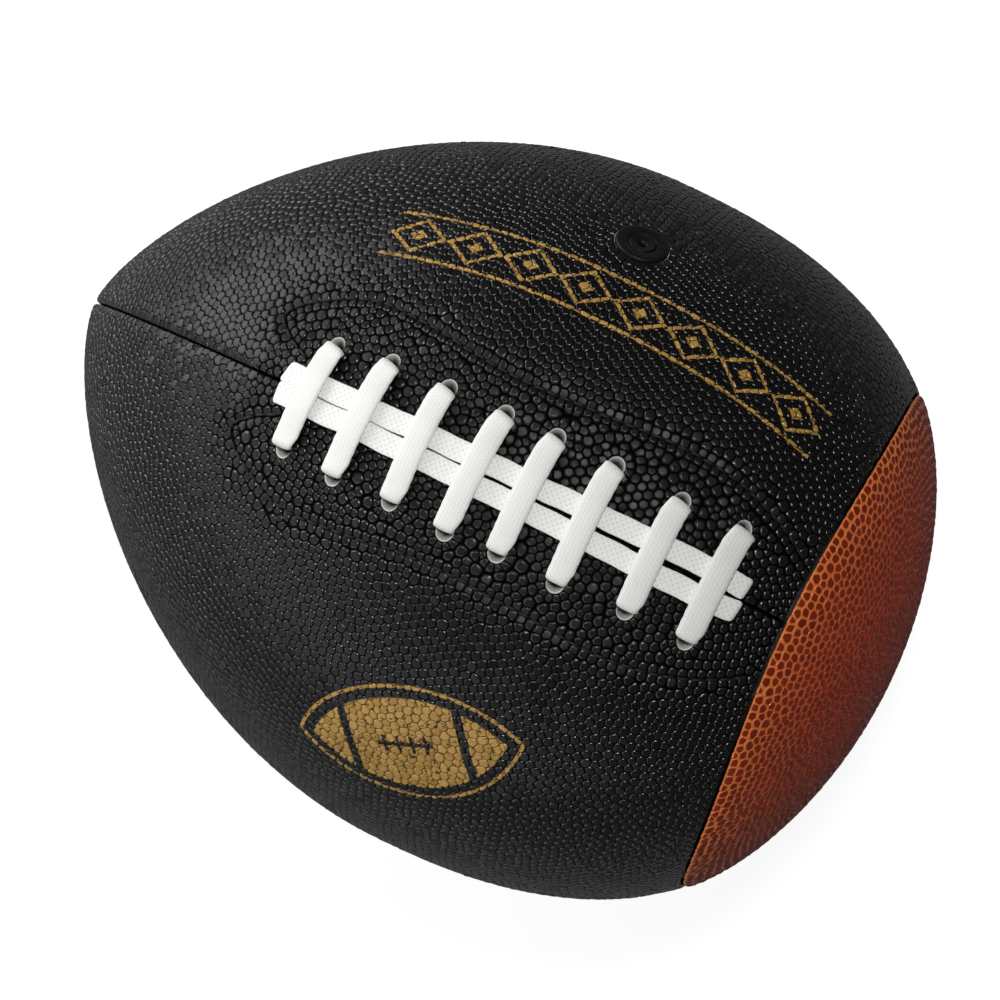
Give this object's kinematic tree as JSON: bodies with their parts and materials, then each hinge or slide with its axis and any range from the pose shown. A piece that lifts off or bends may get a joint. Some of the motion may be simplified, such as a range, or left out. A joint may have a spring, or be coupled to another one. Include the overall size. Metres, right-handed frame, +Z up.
{
  "type": "american football",
  "caption": "Laced practice football with a pointed nose and a blunt domed end, in black pebbled panels with a brown end panel, white lace, bladder and needle valve.",
  "frame": {"origin": "under the middle of the ball's length, on the ground that its underside lies on", "axes": "+X along the ball towards the blunt cap end, +Z up through the lace, +Y towards the valve side"},
  "size_m": [0.211, 0.1708, 0.1742],
  "materials": {
    "black_skin": "black pebbled composite leather, satin",
    "brown_skin": "red-brown pebbled composite leather, satin",
    "white_lace": "white coated woven lace, fine diagonal weave",
    "lining_cloth": "undyed woven lining cloth",
    "black_thread": "black twisted sewing thread",
    "bladder_rubber": "matt black bladder rubber",
    "valve_rubber": "smooth black moulded rubber"
  },
  "bodies": {
    "root": {"panel_lace_valve_side": "black_skin", "panel_lace_plain_side": "black_skin", "panel_under_valve_side": "black_skin", "panel_under_plain_side": "black_skin", "cap_panel": "brown_skin", "lining_lace_valve_side": "lining_cloth", "lining_lace_plain_side": "lining_cloth", "lining_under_valve_side": "lining_cloth", "lining_under_plain_side": "lining_cloth", "cap_lining": "lining_cloth", "lace_liner_valve_side": "lining_cloth", "lace_liner_plain_side": "lining_cloth", "lace_tongue": "lining_cloth", "lace": "white_lace", "lace_strip_valve_side": "white_lace", "lace_strip_plain_side": "white_lace", "lace_liner_stitch_valve_side": "black_thread", "lace_liner_stitch_plain_side": "black_thread", "seam_thread_lace_nose": "black_thread", "seam_thread_lace_cap": "black_thread", "seam_thread_valve_side": "black_thread", "seam_thread_plain_side": "black_thread", "seam_thread_underside": "black_thread", "seam_thread_cap": "black_thread", "bladder": "bladder_rubber", "valve_body": "valve_rubber", "valve_plug": "valve_rubber"}
  },
  "joints": []
}
